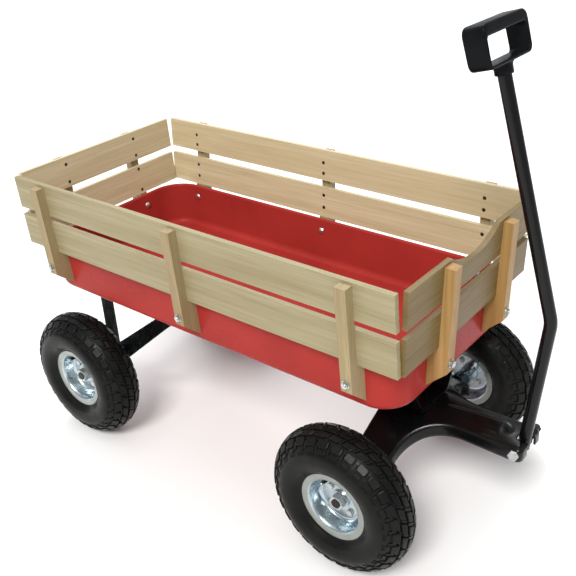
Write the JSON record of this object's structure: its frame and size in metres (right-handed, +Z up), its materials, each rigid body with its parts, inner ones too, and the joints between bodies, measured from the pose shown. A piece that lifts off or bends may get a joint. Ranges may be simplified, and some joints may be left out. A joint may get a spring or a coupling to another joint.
{
  "type": "pull wagon",
  "caption": "Child's pull wagon: pressed steel tray with slatted wooden racks, pivoting front fork, pull handle with loop grip, and chunky pneumatic wheels.",
  "frame": {"origin": "on the ground, below the middle of the whole wagon's box", "axes": "+X forward, towards the pull handle; +Y to the wagon's left; +Z up. The wheels stand on z = 0."},
  "size_m": [1.0284, 0.513, 0.8588],
  "materials": {
    "tray_paint": "gloss red enamel",
    "slat_wood": "clear varnish on pale hardwood",
    "post_wood": "clear varnish on a warmer wood",
    "screw_steel": "dark plated",
    "zinc_steel": "zinc plated",
    "rim_zinc": "zinc plated, pressed",
    "bearing_steel": "ground",
    "black_paint": "satin black powder coat",
    "grip_plastic": "moulded, slightly glossy",
    "tyre_rubber": "matt black rubber"
  },
  "bodies": {
    "wagon": {"tray": "tray_paint", "right_slat_lower": "slat_wood", "right_slat_upper": "slat_wood", "left_slat_lower": "slat_wood", "left_slat_upper": "slat_wood", "front_slat_lower": "slat_wood", "front_slat_upper": "slat_wood", "rear_slat_lower": "slat_wood", "rear_slat_upper": "slat_wood", "right_post_rear": "post_wood", "right_post_middle": "post_wood", "right_post_front": "post_wood", "left_post_rear": "post_wood", "left_post_middle": "post_wood", "left_post_front": "post_wood", "front_post_right": "post_wood", "front_post_left": "post_wood", "rear_post_right": "post_wood", "rear_post_left": "post_wood", "slat_screws": "screw_steel", "post_bolts": "zinc_steel", "post_nuts": "zinc_steel", "front_bolster": "black_paint", "chassis_studs": "zinc_steel", "chassis_nuts": "zinc_steel", "king_pin": "zinc_steel", "king_nut": "zinc_steel", "pivot_washers": "zinc_steel", "rear_bracket_right": "black_paint", "rear_bracket_left": "black_paint", "rear_axle": "black_paint", "rear_axle_nuts": "zinc_steel"},
    "steering": {"fork": "black_paint", "front_axle": "black_paint", "front_axle_nuts": "zinc_steel", "handle_bolt": "zinc_steel", "handle_nut": "zinc_steel"},
    "handle": {"handle_tube": "black_paint", "handle_grip": "grip_plastic"},
    "wheel_front_right": {"tyre_front_right": "tyre_rubber", "rim_front_right": "rim_zinc", "hub_front_right": "rim_zinc", "bearings_front_right": "bearing_steel", "rim_bolts_front_right": "zinc_steel"},
    "wheel_front_left": {"tyre_front_left": "tyre_rubber", "rim_front_left": "rim_zinc", "hub_front_left": "rim_zinc", "bearings_front_left": "bearing_steel", "rim_bolts_front_left": "zinc_steel"},
    "wheel_rear_right": {"tyre_rear_right": "tyre_rubber", "rim_rear_right": "rim_zinc", "hub_rear_right": "rim_zinc", "bearings_rear_right": "bearing_steel", "rim_bolts_rear_right": "zinc_steel"},
    "wheel_rear_left": {"tyre_rear_left": "tyre_rubber", "rim_rear_left": "rim_zinc", "hub_rear_left": "rim_zinc", "bearings_rear_left": "bearing_steel", "rim_bolts_rear_left": "zinc_steel"}
  },
  "joints": [
    {"name": "steering_pivot", "type": "hinge", "parent": "wagon", "child": "steering", "pos_m": [0.27081, 0, 0.19], "axis": [0, 0, 1], "range_deg": [-45, 45]},
    {"name": "handle_pivot", "type": "hinge", "parent": "steering", "child": "handle", "pos_m": [0.47781, 0, 0.192], "axis": [0, 1, 0], "range_deg": [0, 110]},
    {"name": "wheel_front_right_spin", "type": "hinge", "parent": "steering", "child": "wheel_front_right", "pos_m": [0.27081, -0.214, 0.13], "axis": [0, 1, 0], "continuous": true},
    {"name": "wheel_front_left_spin", "type": "hinge", "parent": "steering", "child": "wheel_front_left", "pos_m": [0.27081, 0.214, 0.13], "axis": [0, 1, 0], "continuous": true},
    {"name": "wheel_rear_right_spin", "type": "hinge", "parent": "wagon", "child": "wheel_rear_right", "pos_m": [-0.36219, -0.214, 0.13], "axis": [0, 1, 0], "continuous": true},
    {"name": "wheel_rear_left_spin", "type": "hinge", "parent": "wagon", "child": "wheel_rear_left", "pos_m": [-0.36219, 0.214, 0.13], "axis": [0, 1, 0], "continuous": true}
  ]
}
